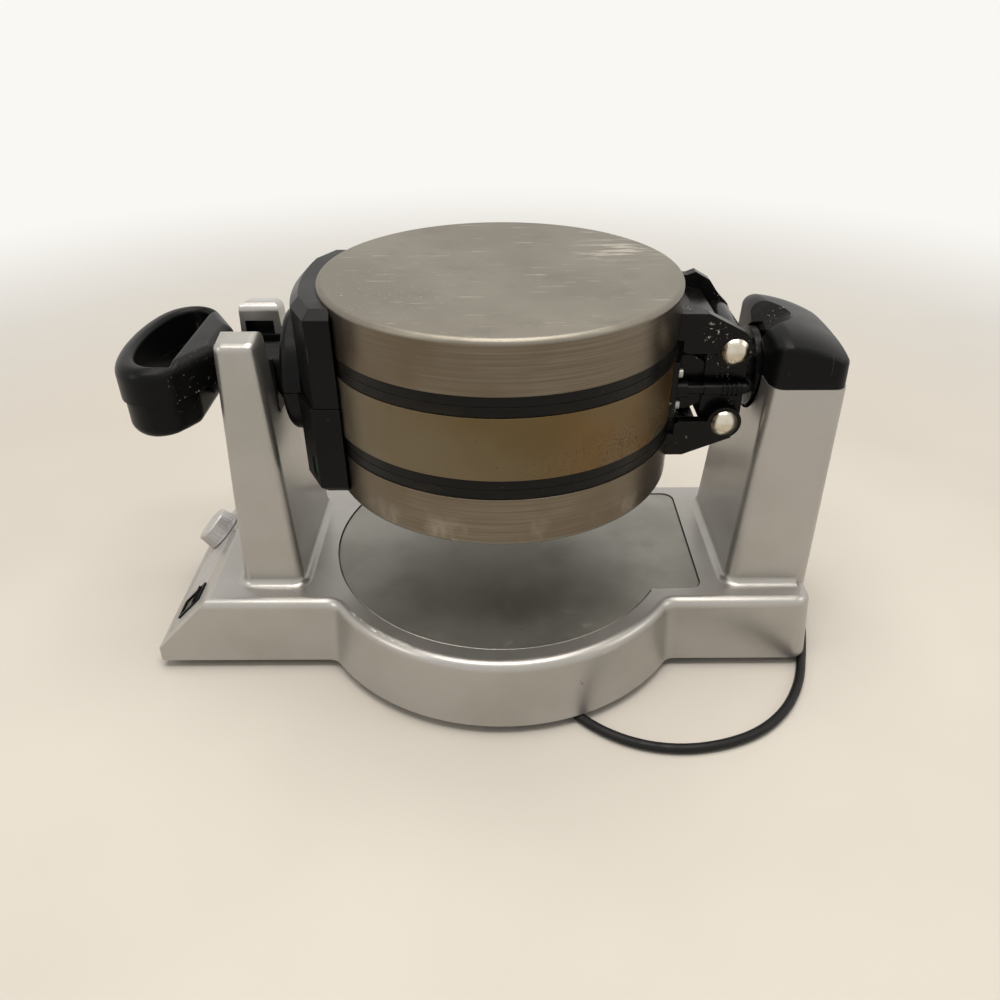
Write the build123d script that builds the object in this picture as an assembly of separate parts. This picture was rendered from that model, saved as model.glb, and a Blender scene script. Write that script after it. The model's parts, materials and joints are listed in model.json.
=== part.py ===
from build123d import *
from math import pi, radians, sqrt, tan
import os

os.makedirs("parts", exist_ok=True)

# A countertop waffle maker that turns over. Sizes are in millimetres.
# The pieces are worked out about the drum's upright axis, with the floor at Z 0,
# and write() moves them by DRUM_X so that the origin is under the object's middle.

# Overall layout
DRUM_X = 11.5
AXIS_Z = 182.5
RIM_Z = 7.0
BASE_TOP = 53.0
WALL = 3.0

# Drum: a double iron between two lids, heights counted from the turning axis
DRUM_R = 105.0
SHEET = 1.5
LID_TOP = 60.0
LID_EDGE = 30.1
PLATE_SPLIT = 24.2
HOUSING_HALF = 18.2
PLATE_R = 104.4
SPLIT_GAP = 0.3

# Cooking plates
PAN_R = 92.0
PAN_DEPTH = 11.0
PAN_THICK = 3.0
PEG = 12.0
PEG_PITCH = 19.0
PEG_FIELD_R = 84.0
PEG_CLEAR = 1.6

# Hinge between the drum and its lids
PIN_X = 133.0
PIN_Z = 22.75
PIN_R = 4.0
HEAD_R = 8.0
BOSS_R = 10.2
ARM_IN = 26.0
ARM_OUT = 33.0
ARM_LOW = 21.6
UPPER_FRONT = [(92, 45.5), (116, 45.2), (137.5, 34.3), (141.8, 29)]
UPPER_REAR = [(92, 48), (114, 48), (119, 50), (128.2, 44.8), (134.9, 35.7), (141.4, 29.3)]
LOWER_ARM = [(92, 44), (110, 44), (138.4, 32.4)]
ARM_SCREW_Y = (-18, 18)
ARM_SCREW_Z = 36.0
RUN_FIT = 0.05

# Shaft of the drum in the right tower
SHAFT_R = 12.5
SHAFT_BORE = 8.0
SHAFT_START = 125.0
SHAFT_END = 184.0

# Handle, neck and collar on the left
NECK_R = 15.6
COLLAR_R = 37.0
COLLAR_X = (-127.0, -115.0)
LOOP_TOP = 21.5
LOOP_BOW = [(-224, 0), (-221.5, 27), (-212.5, 48), (-198, 54.8), (-185.5, 50.3), (-177.5, 39)]
UNDER_BOW = [(-222.5, 0), (-220, 26.5), (-211.3, 46.7), (-198, 53.3), (-186.5, 49), (-180, 40)]
GRIP_BOW = [(-213.5, 0), (-211, 24), (-203.5, 40), (-194.5, 45), (-186, 42)]
GRIP_CORNER = 5.0
LOOP_END = (-165.5, 18.6)
UNDER_END = (-176.0, 33.0)

# Towers: half sizes at the foot and at the top
LEFT_FOOT = (-167.0, -128.0, 51.0)
LEFT_TOP = (-161.0, -137.0, 40.0)
LEFT_HEIGHT = 216.5
RIGHT_FOOT = (145.0, 198.0, 52.0)
RIGHT_TOP = (153.0, 197.5, 46.0)
RIGHT_HEIGHT = 187.4
CROWN_FALL = 0.19
TOWER_SPLIT = 61.0
LINER = 2.0
LINER_UP = 14.0
NOTCH_R = NECK_R + 2.8 + LINER

# Base: two wings and a round plinth
WING_LEFT = -224.0
WING_RIGHT = 201.0
WING_HALF = 72.0
DRAFT_WING = 3.0
PLINTH_R = 129.7
PLINTH_TOP_R = 126.0
EDGE_R = 6.0
SLOPE_LOW = (-222.5, 17.0)
SLOPE_HIGH = (-188.0, 52.0)

# Drip tray let into the base
TRAY_R = 112.0
TRAY_RIGHT = 128.5
TRAY_HALF = 56.5
TRAY_THICK = 2.4
TRAY_SINK = 0.7
SEAM = 0.5

# Cap of the right tower and the throat that the drum's hub turns in
CAP_Z = 187.4
THROAT_R = 26.0
CAP_EDGE_Z = 204.0
CAP_TIP = 3.0
CAP_BEND = (177.0, 211.0)
CAP_CREST_Z = 214.0
CAP_CORNER = 9.0
CAP_ROUND = 3.5
CAP_RISES = [(-48, -4), (-32, 1.6), (0, 3.5), (32, 1.6), (48, -4)]
DISH_R = 25.0
DISH_LOW = (153.0, 201.5)
DISH_RISE = 37.0
BEARING_X = (157.0, 172.0)
BEARING_R = 16.0
RING_X = 178.5

# Details of the drum and its lids
RIM_THICK = 5.7
HEATER_R = 64.0
HEATER_TUBE = 3.4
HEATER_Z = (6.6, 41.9)
BARREL_R = 9.8
BLOCK_X = (119.0, 143.6)
BLOCK_HALF = 25.6
FLANGE_HALF = 36.0
CONDUIT_Y = -31.0
COVER_R = 119.5
COVER_BACK = 90.0
COVER_HALF = 57.4
COVER_KNEE = (104.0, 35.0)
COVER_TOP = 56.5
LENS_AT = (107.9, 49.5, 40.2)
LENS_SIZE = (6.5, 12.5)
GRIP_SCREW_Y = (-24, 24)
GRIP_SCREW_Z = 15.0

# Control panel on the sloped end, measured up the slope and along Y
PANEL_ALONG = (5.0, 39.0)
PANEL_HALF = 60.0
PANEL_THICK = 2.0
ROCKER_AT = (24.0, -44.0)
ROCKER_L = 21.0
ROCKER_W = 15.0
ROCKER_SWING = 8.0
KNOB_AT = (24.5, 34.0)
KNOB_R = 14.5
KNOB_H = 12.0
KNOB_LIFT = 0.6
ROCKER_DEEP = 4.0
LIGHT_Y = 54.0
LIGHT_ALONG = (16.0, 32.0)

# Underside
COVER_Z = 8.5
SCREW_AT = [(-176, -30), (-176, 30), (-70, -86), (-70, 86), (88, -72), (88, 72), (190, -60), (190, 60)]
FEET_AT = [(-192, -54), (-192, 54), (178, -38), (178, 38), (-40, -108), (-40, 108)]

# Cord
CORD_R = 3.0
CORD_Z = 3.2
CORD_EXIT = (-150.0, 71.0, 19.0)
RELIEF = 25.0
LEAD_Y = 11.0
LEAD_Z = 22.0
COIL_X = 62.0
COIL_NEAR = 133.0
COIL_OUTER = 36.0
COIL_STEP = 3.3
COIL_LIFT = 6.6
PLUG_RELIEF = 20.0
PLUG_BODY = (30.0, 24.0, 19.4)
BLADE = (17.0, 1.5, 6.3)
BLADE_PITCH = 12.7


def write(name, *solids):
    """Writes one piece, moved so that the origin is under the object's middle."""
    moved = [Pos(DRUM_X, 0, 0) * solid for solid in solids]
    shape = moved[0] if len(moved) == 1 else Compound(children=moved)
    export_step(shape, f"parts/{name}.step")


def block(x, y, z):
    """A box between pairs of coordinates."""
    size = [b - a for a, b in (x, y, z)]
    centre = [(a + b) / 2 for a, b in (x, y, z)]
    return Pos(*centre) * Box(*size)


def rod_z(r, z0, z1, x=0.0, y=0.0):
    return Pos(x, y, (z0 + z1) / 2) * Cylinder(r, z1 - z0)


def rod_x(r, x0, x1, y=0.0, z=0.0):
    return Pos((x0 + x1) / 2, y, z) * Rot(0, 90, 0) * Cylinder(r, x1 - x0)


def rod_y(r, y0, y1, x=0.0, z=0.0):
    return Pos(x, (y0 + y1) / 2, z) * Rot(90, 0, 0) * Cylinder(r, y1 - y0)


def side_profile(points, y0, y1):
    """A closed outline in X and Z, drawn out along Y."""
    face = make_face(Polyline(*[(x, 0, z) for x, z in points], close=True))
    return Pos(0, y0, 0) * extrude(face, amount=y1 - y0, dir=(0, 1, 0))


def tapered_post(foot, top, z0, z1, corner):
    """A post whose rounded rectangular section shrinks from z0 to z1."""
    sections = []
    for (x0, x1, half), z in ((foot, z0), (top, z1)):
        sections.append(Pos((x0 + x1) / 2, 0, z) * RectangleRounded(x1 - x0, 2 * half, corner))
    return loft(Sketch() + sections)


def at_axis(shape):
    return Pos(0, 0, AXIS_Z) * shape


def turned_over(shape):
    return Pos(0, 0, AXIS_Z) * Rot(180, 0, 0) * shape


# Base

def wing(x0, x1, top_x0, top_x1, corner):
    """One end of the base, drafted so that its walls lean in."""
    foot = (x0, x1, WING_HALF)
    top = (top_x0, top_x1, WING_HALF - DRAFT_WING)
    return tapered_post(foot, top, RIM_Z, BASE_TOP, corner)


def slope_cutter(depth):
    """What lies outside the sloped end, moved inwards by depth."""
    run = SLOPE_HIGH[0] - SLOPE_LOW[0]
    rise = SLOPE_HIGH[1] - SLOPE_LOW[1]
    length = sqrt(run * run + rise * rise)
    along = (run / length, rise / length)
    start = (SLOPE_LOW[0] + depth * along[1], SLOPE_LOW[1] - depth * along[0])
    low = (start[0] - 30 * along[0], start[1] - 30 * along[1])
    high = (start[0] + 80 * along[0], start[1] + 80 * along[1])
    outline = [low, high, (high[0] - 120, high[1]), (low[0] - 120, low[1])]
    return side_profile(outline, -100, 100)


def base_envelope():
    """The base without its towers: wings, round plinth, sloped left end."""
    body = wing(WING_LEFT, 60, WING_LEFT + 0.5, 60, 3)
    body += wing(-60, WING_RIGHT, -60, WING_RIGHT - 4, 12)
    body += Pos(0, 0, (RIM_Z + BASE_TOP) / 2) * Cone(PLINTH_R, PLINTH_TOP_R, BASE_TOP - RIM_Z)
    corners = [
        edge
        for edge in body.edges()
        if edge.length > 40 and 100 < abs(edge.center().X) < 115 and 60 < abs(edge.center().Y) < 75
    ]
    body = fillet(corners, 10)
    body -= slope_cutter(0)
    rim = [edge for edge in body.edges() if edge.bounding_box().min.Z > BASE_TOP - 0.1]
    return fillet(rim, EDGE_R)


def booted_post(foot, top, height, corner, x_limit):
    """A tower with a hollow round foot where it stands on the base."""
    post = tapered_post(foot, top, BASE_TOP, height, corner)
    x0, x1, half = foot
    slab = block((x0 - 30, x1 + 30), (-half - 30, half + 30), (BASE_TOP - 8, BASE_TOP))
    joined = slab + post
    edges = [
        edge
        for edge in joined.edges()
        if abs(edge.center().Z - BASE_TOP) < 0.1
        and edge.bounding_box().size.Z < 0.1
        and x0 - 5 < edge.center().X < x1 + 5
        and abs(edge.center().Y) < half + 5
    ]
    joined = fillet(edges, 5)
    reach = 12
    x_span = (x0 - reach, min(x1 + reach, x_limit))
    flare = joined & block(x_span, (-half - reach, half + reach), (BASE_TOP - 0.5, BASE_TOP + 8))
    return flare + post + tapered_post(foot, foot, BASE_TOP - 20, BASE_TOP, corner)


def left_tower():
    """The yoke: two prongs with a slot for the lined cradle between them."""
    tower = booted_post(LEFT_FOOT, LEFT_TOP, LEFT_HEIGHT, 6, 400)
    x0, x1, _ = LEFT_FOOT
    tower -= block((x0 - 5, x1 + 5), (-NOTCH_R, NOTCH_R), (AXIS_Z - NOTCH_R, LEFT_HEIGHT + 10))
    reach = 2 * LEFT_FOOT[2]
    low = LEFT_HEIGHT - CROWN_FALL * (reach - NOTCH_R)
    slope = [(reach, 0), (reach, low), (NOTCH_R, LEFT_HEIGHT)]
    roof = slope + [(-y, z) for y, z in reversed(slope)]
    face = make_face(Polyline(*[(x0 - 40, y, z) for y, z in roof], close=True))
    tower &= extrude(face, amount=150, dir=(1, 0, 0))
    crown = [edge for edge in tower.edges() if edge.bounding_box().min.Z > LEFT_HEIGHT - 6]
    tower = fillet(crown, 5)
    tower -= block((-158.4, -140.8), (NOTCH_R - 1, NOTCH_R + 9), (193, 204.8))
    return tower


def right_tower():
    """The tower that holds the shaft's bearings; a cap closes its top."""
    tower = booted_post(RIGHT_FOOT, RIGHT_TOP, RIGHT_HEIGHT, 8, 190)
    return tower - rod_x(THROAT_R, RIGHT_FOOT[0] - 5, RIGHT_TOP[0] + 6, z=AXIS_Z)


def inner_post(foot, top, z0, z1, inset, corner):
    """The hollow inside a tower."""
    return tapered_post(
        (foot[0] + inset, foot[1] - inset, foot[2] - inset),
        (top[0] + inset, top[1] - inset, top[2] - inset),
        z0,
        z1,
        corner,
    )


def base_hollow(inset, top):
    """The base's inside, open below, up to the height top."""
    draft = DRAFT_WING + inset
    foot = (WING_LEFT + inset, WING_RIGHT - inset, WING_HALF - inset)
    roof = (WING_LEFT + inset, WING_RIGHT - 4 - inset, WING_HALF - draft)
    body = tapered_post(foot, roof, RIM_Z - 2, top, 6)
    body += Pos(0, 0, (RIM_Z - 2 + top) / 2) * Cone(PLINTH_R - inset, PLINTH_TOP_R - inset, top - RIM_Z + 2)
    return body - slope_cutter(inset)


def tray_outline(grow):
    """The tray's outline: a disc with a squared tab towards the right tower."""
    tab_x = TRAY_RIGHT / 2
    tab = Pos(tab_x, 0) * RectangleRounded(TRAY_RIGHT + 2 * grow, 2 * (TRAY_HALF + grow), 8 + grow)
    return Circle(TRAY_R + grow) + tab


def tray_slab(grow, z0, z1):
    return extrude(Pos(0, 0, z0) * tray_outline(grow), amount=z1 - z0)


def drip_tray():
    """A sheet tray with a low rolled rim, let into the base."""
    top = BASE_TOP - TRAY_SINK
    tray = tray_slab(0, top - TRAY_THICK, top)
    rim = [edge for edge in tray.edges() if edge.bounding_box().min.Z > top - 0.1]
    return fillet(rim, 0.8)


def slope_frame(x_along, y, proud):
    """A plane on the sloped end: x_along up the slope, Z out of it."""
    run = SLOPE_HIGH[0] - SLOPE_LOW[0]
    rise = SLOPE_HIGH[1] - SLOPE_LOW[1]
    length = sqrt(run * run + rise * rise)
    x = SLOPE_LOW[0] + x_along * run / length - proud * rise / length
    z = SLOPE_LOW[1] + x_along * rise / length + proud * run / length
    return Plane(origin=(x, y, z), x_dir=(run, 0, rise), z_dir=(-rise, 0, run))


def on_slope(x_along, y, proud=0.0):
    return Location(slope_frame(x_along, y, proud))


def slope_hole(x_along, y, shape, depth):
    """An opening of a given outline through the sloped end."""
    return on_slope(x_along, y, 3) * extrude(shape, amount=-depth - 3)


def panel_recess():
    width = PANEL_ALONG[1] - PANEL_ALONG[0]
    middle = (PANEL_ALONG[0] + PANEL_ALONG[1]) / 2
    return middle, width


def control_openings(depth):
    """Holes for the rocker, the knob's shaft and the two lights."""
    holes = slope_hole(ROCKER_AT[0], ROCKER_AT[1], Rectangle(ROCKER_L + 1, ROCKER_W + 1), depth)
    holes += slope_hole(KNOB_AT[0], KNOB_AT[1], Circle(3.6), depth)
    for along in LIGHT_ALONG:
        holes += slope_hole(along, LIGHT_Y, Circle(3.1), depth)
    return holes


def housing_mouldings():
    """The base and, standing on it, the two towers, split just above their feet."""
    body = base_envelope() + left_tower() + right_tower()
    body -= base_hollow(WALL, BASE_TOP - 6.5)
    body -= inner_post(LEFT_FOOT, LEFT_TOP, BASE_TOP - 10, AXIS_Z - NOTCH_R - 5, WALL, 3)
    body -= inner_post(RIGHT_FOOT, RIGHT_TOP, BASE_TOP - 10, RIGHT_HEIGHT + 1, WALL, 5)
    body -= tray_slab(SEAM, BASE_TOP - TRAY_SINK - TRAY_THICK, BASE_TOP + 5)
    middle, width = panel_recess()
    recess = extrude(Rectangle(width + 2 * SEAM, 2 * (PANEL_HALF + SEAM)), amount=-PANEL_THICK - 3)
    body -= on_slope(middle, 0, 3) * recess
    body -= control_openings(WALL + 6)
    for x, y in SCREW_AT:
        body += rod_z(4.5, COVER_Z + 2, BASE_TOP - 5, x, y)
        body -= rod_z(1.6, COVER_Z, COVER_Z + 16, x, y)
    x, y, z = CORD_EXIT
    body -= rod_y(6.2, y - 12, y + 8, x=x, z=z)
    above = block((-300, 300), (-200, 200), (TOWER_SPLIT, 300))
    left = above & block((-300, 0), (-200, 200), (0, 300))
    right = above & block((0, 300), (-200, 200), (0, 300))
    return body - above, body & left, body & right


def bottom_cover():
    """The plate that closes the base, with holes for its screws."""
    cover = base_hollow(WALL + 0.6, BASE_TOP - 8) & block((-260, 260), (-160, 160), (COVER_Z, COVER_Z + 2))
    for x, y in SCREW_AT:
        cover -= rod_z(1.9, COVER_Z - 1, COVER_Z + 3, x, y)
    for x, y in FEET_AT:
        cover -= rod_z(3.1, COVER_Z - 1, COVER_Z + 3, x, y)
    return cover


def rubber_foot(x, y):
    """A tapered foot with a stalk that pushes into the bottom cover."""
    pad = Pos(x, y, COVER_Z / 2) * Cone(7.5, 9, COVER_Z)
    stalk = rod_z(3.0, COVER_Z, COVER_Z + 3, x, y)
    return pad + stalk


def cover_screw(x, y):
    head = rod_z(3.4, COVER_Z - 1.8, COVER_Z, x, y)
    slot = block((x - 3, x + 3), (y - 0.4, y + 0.4), (COVER_Z - 2, COVER_Z - 1))
    slot += block((x - 0.4, x + 0.4), (y - 3, y + 3), (COVER_Z - 2, COVER_Z - 1))
    return head + rod_z(1.5, COVER_Z, COVER_Z + 15, x, y) - slot


def control_panel():
    middle, width = panel_recess()
    plate = on_slope(middle, 0) * extrude(Rectangle(width, 2 * PANEL_HALF), amount=-PANEL_THICK)
    return plate - control_openings(WALL + 6)


def cradle_liner():
    """The dark lining of the yoke's slot, on which the neck rests and turns."""
    x0 = LEFT_FOOT[0] + 6
    x1 = LEFT_TOP[1] + 3.5
    side = NOTCH_R - 0.1
    outer = block((x0, x1), (-side, side), (AXIS_Z - side, AXIS_Z + LINER_UP))
    inner = rod_x(NOTCH_R - LINER, x0 - 1, x1 + 1, z=AXIS_Z)
    inner += block((x0 - 1, x1 + 1), (-NOTCH_R + LINER, NOTCH_R - LINER), (AXIS_Z, AXIS_Z + 60))
    return outer - inner


# Right tower's inside and cap

def cap_section(y, rise):
    """The cap from the side at one depth: upright ends and a bowed, falling top."""
    left, right = RIGHT_TOP[0] + 0.2, RIGHT_TOP[1] - 0.2
    low = CAP_Z - 8
    top = CAP_CREST_Z + rise
    shoulder = (left, y, top - CAP_CORNER)
    crest = (left + CAP_CORNER, y, top)
    round_start = (left + 0.3 * CAP_CORNER, y, top - 0.3 * CAP_CORNER)
    brow = (right - CAP_TIP, y, CAP_EDGE_Z + rise)
    tip = (right, y, CAP_EDGE_Z + rise - 1.6 * CAP_TIP)
    tip_round = (right - 0.22 * CAP_TIP, y, CAP_EDGE_Z + rise - 0.62 * CAP_TIP)
    return Wire(
        [
            Line((left, y, low), shoulder),
            ThreePointArc(shoulder, round_start, crest),
            ThreePointArc(crest, (CAP_BEND[0], y, CAP_BEND[1] + rise), brow),
            ThreePointArc(brow, tip_round, tip),
            Line(tip, (right, y, low)),
            Line((right, y, low), (left, y, low)),
        ]
    )


def tower_cap():
    """The dark hood on the right tower, crowned across and dished towards the drum."""
    z = AXIS_Z
    sections = [cap_section(y, rise) for y, rise in CAP_RISES]
    body = Part() + Solid.make_loft(sections)
    x = (RIGHT_TOP[0] + RIGHT_TOP[1]) / 2
    length = RIGHT_TOP[1] - RIGHT_TOP[0]
    sides = []
    for height, lean in ((CAP_Z - 8, 0), (CAP_CREST_Z + 14, 2)):
        outline = RectangleRounded(length - lean, 2 * (RIGHT_TOP[2] - lean), 9)
        sides.append(Pos(x, 0, height) * outline)
    body &= loft(Sketch() + sides)
    rim = [edge for edge in body.edges() if edge.bounding_box().min.Z > CAP_Z + 5]
    body = fillet(rim, CAP_ROUND)
    body &= block((100, 220), (-80, 80), (CAP_Z + 0.3, CAP_Z + 80))
    body -= rod_x(THROAT_R, RIGHT_TOP[0] - 5, RIGHT_TOP[0] + 6, z=z)
    dish = Cylinder(DISH_R, 120, align=(Align.CENTER, Align.CENTER, Align.CENTER))
    low_x, low_z = DISH_LOW
    body -= Pos(low_x, 0, low_z) * Rot(0, -DISH_RISE, 0) * Pos(0, 0, DISH_R) * Rot(0, 90, 0) * dish
    body -= rod_x(BEARING_R + 5, RIGHT_TOP[0] - 3, RIGHT_TOP[1] - 6, z=z)
    side = RIGHT_TOP[2] - 6
    hollow = block((RIGHT_TOP[0] + WALL, RIGHT_TOP[1] - WALL), (-side, side), (CAP_Z - 10, CAP_Z + 8))
    return body - hollow


def shaft_frame():
    """A folded steel frame that stands in the right tower and carries both bearings."""
    low = COVER_Z + 2
    plates = block((BEARING_X[0], BEARING_X[0] + 3), (-30, 30), (low, AXIS_Z + 12))
    plates += block((BEARING_X[1], BEARING_X[1] + 3), (-30, 30), (low, AXIS_Z + 12))
    plates += block((BEARING_X[0], BEARING_X[1] + 3), (-30, 30), (low, low + 3))
    plates -= rod_x(BEARING_R, BEARING_X[0] - 1, BEARING_X[1] + 4, z=AXIS_Z)
    return plates - rod_x(4, BEARING_X[0] - 1, BEARING_X[1] + 4, LEAD_Y, LEAD_Z)


def shaft_bearing(x):
    """A flanged plain bush pressed into the frame."""
    bush = rod_x(BEARING_R, x - 2, x + 5, z=AXIS_Z) + rod_x(BEARING_R + 2.5, x - 2, x, z=AXIS_Z)
    return bush - rod_x(SHAFT_R + RUN_FIT, x - 3, x + 6, z=AXIS_Z)


def rotor_shaft():
    """The hollow shaft that the drum turns on, with its flange inside the throat."""
    shaft = rod_x(SHAFT_R, SHAFT_START, SHAFT_END, z=AXIS_Z)
    shaft += rod_x(SHAFT_R + 4, 146, 150, z=AXIS_Z) + rod_x(THROAT_R - 2, 150, 154, z=AXIS_Z)
    shaft -= rod_x(SHAFT_BORE, SHAFT_START - 1, SHAFT_END + 1, z=AXIS_Z)
    groove = rod_x(SHAFT_R + 1, RING_X, RING_X + 2.2, z=AXIS_Z)
    groove -= rod_x(SHAFT_R - 1, RING_X - 1, RING_X + 4, z=AXIS_Z)
    return shaft - groove


def retaining_ring():
    ring = rod_x(SHAFT_R + 3, RING_X + 0.1, RING_X + 2.1, z=AXIS_Z)
    ring -= rod_x(SHAFT_R - 0.9, RING_X - 1, RING_X + 4, z=AXIS_Z)
    return ring - block((RING_X - 1, RING_X + 4), (-4, 4), (AXIS_Z + 5, AXIS_Z + 30))


# Drum: the double iron between the lids

def mid_housing():
    """The ring wall around the two middle plates, with an inner ledge at each edge."""
    wall = rod_z(DRUM_R, -HOUSING_HALF, HOUSING_HALF) - rod_z(DRUM_R - SHEET, -30, 30)
    for side in (-1, 1):
        z = side * (HOUSING_HALF - 1)
        wall += rod_z(DRUM_R - 0.5, z - 1, z + 1) - rod_z(DRUM_R - 8, z - 2, z + 2)
    return at_axis(wall - rod_x(SHAFT_BORE, 90, 110) - bracket_screw_holes())


def waffle_plate(face, out):
    """One cast plate: rim, sunk pan and square pegs. face is its rim's height, out its back's side."""
    depth = out * PAN_DEPTH
    rim_back = face + out * RIM_THICK
    pan_floor = face + depth
    pan_back = pan_floor + out * PAN_THICK

    def disc(r, a, b):
        return rod_z(r, min(a, b), max(a, b))

    plate = disc(PLATE_R, face, rim_back) + disc(PAN_R, face, pan_back)
    plate -= disc(PAN_R - PAN_THICK, face - out, pan_floor)
    pegs = []
    steps = range(-4, 5)
    for i in steps:
        for j in steps:
            x = (i + 0.5) * PEG_PITCH
            y = (j + 0.5) * PEG_PITCH
            if sqrt(x * x + y * y) + PEG / 2 < PEG_FIELD_R:
                heights = sorted((face + out * PEG_CLEAR, pan_floor + out * 0.5))
                pegs.append(block((x - PEG / 2, x + PEG / 2), (y - PEG / 2, y + PEG / 2), heights))
    return plate + pegs


def heater(z):
    """A ring-shaped tubular heater, open where its two ends stand."""
    ring = Pos(0, 0, z) * Torus(HEATER_R, HEATER_TUBE)
    return ring - block((0, 120), (-9, 9), (z - 10, z + 10))


BRACKET_SCREWS = [(y, z) for y in (-31, 31) for z in (-10.5, 9)]


def bracket_screw_holes():
    holes = [rod_x(1.6, 90, 110, y, z) for y, z in BRACKET_SCREWS]
    return Part() + holes


def hinge_bracket():
    """The casting on the drum that holds both hinge pins and the shaft."""
    edge = HOUSING_HALF - 1
    flange = rod_z(DRUM_R + 3, -edge, edge) & block((90, 115), (-FLANGE_HALF, FLANGE_HALF), (-edge, edge))
    left, right = BLOCK_X
    half_web = [(96, edge), (111, edge), (left + 1, 12.3)]
    web = side_profile(half_web + [(x, -z) for x, z in half_web[::-1]], -BLOCK_HALF + 1.6, BLOCK_HALF - 1.6)
    body = flange + web + block(BLOCK_X, (-BLOCK_HALF, BLOCK_HALF), (-PIN_Z, PIN_Z))
    for side in (-1, 1):
        body += rod_y(BARREL_R, -BLOCK_HALF, BLOCK_HALF, PIN_X, side * PIN_Z)
    body -= rod_z(DRUM_R, -30, 30)
    body -= rod_x(SHAFT_R, SHAFT_START - 0.1, right + 5)
    body -= rod_x(SHAFT_BORE, 90, SHAFT_START + 1)
    for side in (-1, 1):
        body -= rod_y(PIN_R, -60, 60, PIN_X, side * PIN_Z)
    body -= bracket_screw_holes()
    for y, z in BRACKET_SCREWS:
        body -= rod_x(3.4, DRUM_R - 2.6, DRUM_R + 5, y, z)
    return at_axis(body)


def bracket_screw(y, z):
    seat = DRUM_R - 2.6
    head = rod_x(3.1, seat, seat + 2.4, y, z)
    head -= block((seat + 1.6, seat + 4), (y - 2.6, y + 2.6), (z - 0.4, z + 0.4))
    return at_axis(head + rod_x(1.5, seat - 7, seat, y, z))


def cable_conduit():
    """The dark sleeve that leads the heaters' cable from the drum to the hollow shaft."""
    y, z = CONDUIT_Y, -1.0
    body = rod_x(4.9, 98, 108.5, y, z) + rod_x(3.0, 108, 119, y, z) + rod_x(3.7, 118, 129, y, z)
    for step in range(4):
        x = 129 + 2.75 * step
        body += rod_x(4.3, x, x + 1.6, y, z) + rod_x(3.6, x + 1.6, x + 2.75, y, z)
    body += rod_x(3.2, 139, 143, y, z)
    turn = FilletPolyline((141, y, z), (146.6, y, z), (146.6, -10, z), radius=3.4)
    body += sweep(Plane(origin=(141, y, z), z_dir=(1, 0, 0)) * Circle(2.2), path=turn)
    body -= rod_x(SHAFT_R, 120, 146) + rod_x(SHAFT_R + 4, 146, 150) + rod_z(DRUM_R + 3, -30, 30)
    return at_axis(body.solids().sort_by(SortBy.VOLUME)[-1])


def hinge_pin(z):
    """A pin with a domed head at each end."""
    pin = rod_y(PIN_R, -ARM_OUT - 0.4, ARM_OUT + 0.4, PIN_X, z)
    for side in (-1, 1):
        dome = Pos(PIN_X, side * (ARM_OUT + 0.3 - 5.5), z) * Sphere(10)
        y0, y1 = sorted((side * (ARM_OUT + 0.3), side * (ARM_OUT + 6)))
        pin += dome & rod_y(HEAD_R, y0, y1, PIN_X, z)
    return at_axis(pin)


# Lids: everything is made for the upper one and turned over for the lower one

def lid_shell():
    shell = rod_z(DRUM_R, LID_EDGE, LID_TOP)
    rim = [edge for edge in shell.edges() if edge.bounding_box().min.Z > LID_TOP - 0.1]
    shell = fillet(rim, 3)
    inner = rod_z(DRUM_R - SHEET, LID_EDGE - 1, LID_TOP - SHEET)
    rim = [edge for edge in inner.edges() if edge.bounding_box().min.Z > LID_TOP - SHEET - 0.1]
    shell -= fillet(rim, 2)
    for y in ARM_SCREW_Y:
        shell -= rod_x(1.6, 90, 110, y, ARM_SCREW_Z)
    return shell


def hinge_arms(front, rear):
    """Two plates joined by a web, with a bore each for the hinge pin. front and rear are their top edges."""
    under = [(PIN_X, PIN_Z), (121.5, ARM_LOW), (106, ARM_LOW), (92, ARM_LOW + 8)]
    arms = side_profile(front + under, -ARM_OUT, -ARM_IN) + side_profile(rear + under, ARM_IN, ARM_OUT)
    for side in (-1, 1):
        y0, y1 = sorted((side * ARM_IN, side * ARM_OUT))
        arms += rod_y(BOSS_R, y0, y1, PIN_X, PIN_Z)
    high = min(front[0][1], rear[0][1])
    web = [(92, ARM_LOW + 5), (92, high - 4), (111, high - 4), (124, 37.5), (122, 33), (110, ARM_LOW + 5)]
    arms += side_profile(web, -ARM_IN - 2, ARM_IN + 2)
    arms -= rod_z(DRUM_R, LID_EDGE - 0.3, 80) + rod_z(DRUM_R + 3.5, 0, LID_EDGE - 0.3)
    arms -= rod_y(PIN_R + RUN_FIT, -60, 60, PIN_X, PIN_Z)
    for y in ARM_SCREW_Y:
        arms -= rod_x(1.6, 90, 114, y, ARM_SCREW_Z)
    return arms


def arm_screw(y):
    """A screw from inside the lid's wall into the arms."""
    return rod_x(3.2, 98.5, 100.8, y, ARM_SCREW_Z) + rod_x(1.5, 100.8, 112, y, ARM_SCREW_Z)


def cover_outline():
    """The latch cover seen from above: flat front and back, slanted and bowed outside."""
    x_flat, x_knee, y_knee = COVER_BACK, COVER_KNEE[0], COVER_HALF
    front = (-COVER_R + 4.5, -COVER_KNEE[1])
    rear = (-COVER_R + 2.5, COVER_KNEE[1] + 2)
    edges = [
        Line((-x_flat + 12, -y_knee), (-x_knee, -y_knee)),
        Line((-x_knee, -y_knee), front),
        ThreePointArc(front, (-COVER_R, 0), rear),
        Line(rear, (-x_knee - 2, y_knee)),
        Line((-x_knee - 2, y_knee), (-x_flat + 12, y_knee)),
        Line((-x_flat + 12, y_knee), (-x_flat + 12, -y_knee)),
    ]
    return make_face(Curve() + edges)


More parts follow.
